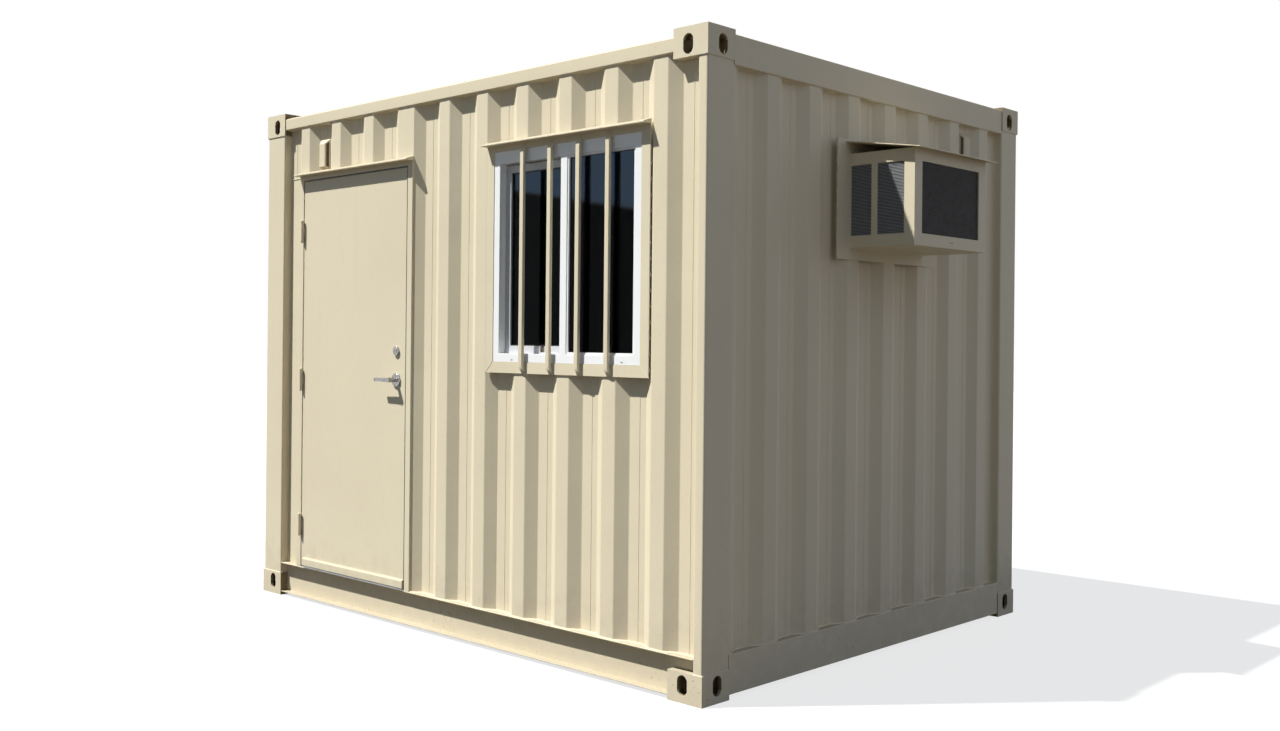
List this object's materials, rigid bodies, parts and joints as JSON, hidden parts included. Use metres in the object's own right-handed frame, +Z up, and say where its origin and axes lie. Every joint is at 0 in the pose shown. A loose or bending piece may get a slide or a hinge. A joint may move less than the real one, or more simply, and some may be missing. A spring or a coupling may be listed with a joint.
{
  "type": "office container",
  "caption": "Short steel site office with ISO corners, corrugated walls, a hinged entrance door, a barred sliding window and a hooded cage for a window air conditioner.",
  "frame": {"origin": "centre of the four corner castings' footprint, on their undersides, so the ground is z = 0", "axes": "+X along the front from the door end to the cage end, +Y from the front wall into the depth, +Z up"},
  "size_m": [3.561, 2.484, 2.591],
  "materials": {
    "beige_paint": "satin",
    "white_lining": "satin",
    "plywood": "matte",
    "mill_aluminium": "brushed",
    "satin_steel": "satin",
    "white_vinyl": "satin",
    "clear_glass": "polished",
    "black_screen": "matte"
  },
  "bodies": {
    "shell": {"corner_castings": "beige_paint", "corner_posts": "beige_paint", "top_side_rails": "beige_paint", "bottom_side_rails": "beige_paint", "top_end_rails": "beige_paint", "bottom_end_rails": "beige_paint", "cross_members": "beige_paint", "floor_deck": "plywood", "roof_panel": "beige_paint", "front_wall_piers": "beige_paint", "front_wall_infills": "beige_paint", "back_wall": "beige_paint", "left_end_wall": "beige_paint", "right_wall_piers": "beige_paint", "right_wall_infills": "beige_paint", "front_lining_piers": "white_lining", "front_lining_infills": "white_lining", "back_lining": "white_lining", "left_lining": "white_lining", "right_lining_piers": "white_lining", "right_lining_infills": "white_lining", "ceiling_lining": "white_lining", "door_frame": "beige_paint", "threshold": "mill_aluminium", "hinge_frame_halves": "beige_paint", "rain_hoods": "beige_paint", "window_surround": "beige_paint", "window_frame": "white_vinyl", "sliding_sash": "white_vinyl", "window_glass": "clear_glass", "window_bars": "beige_paint", "cage_wall_frame": "beige_paint", "cage_frame": "beige_paint", "cage_screens": "black_screen", "cage_hood": "beige_paint", "vents": "beige_paint"},
    "door": {"door_leaf": "beige_paint", "door_sweep": "beige_paint", "hinge_door_halves": "beige_paint", "lock_trim": "satin_steel"},
    "lever": {"lever": "satin_steel"}
  },
  "joints": [
    {"name": "door_swing", "type": "hinge", "parent": "shell", "child": "door", "pos_m": [-1.2315, -1.224, 1.2], "axis": [0, 0, -1], "range_deg": [0, 115]},
    {"name": "lever_turn", "type": "hinge", "parent": "door", "child": "lever", "pos_m": [-0.388, -1.265, 1.185], "axis": [0, -1, 0], "range_deg": [0, 45], "stiffness_Nm_per_rad": 0.8, "springref_deg": -34.38}
  ]
}
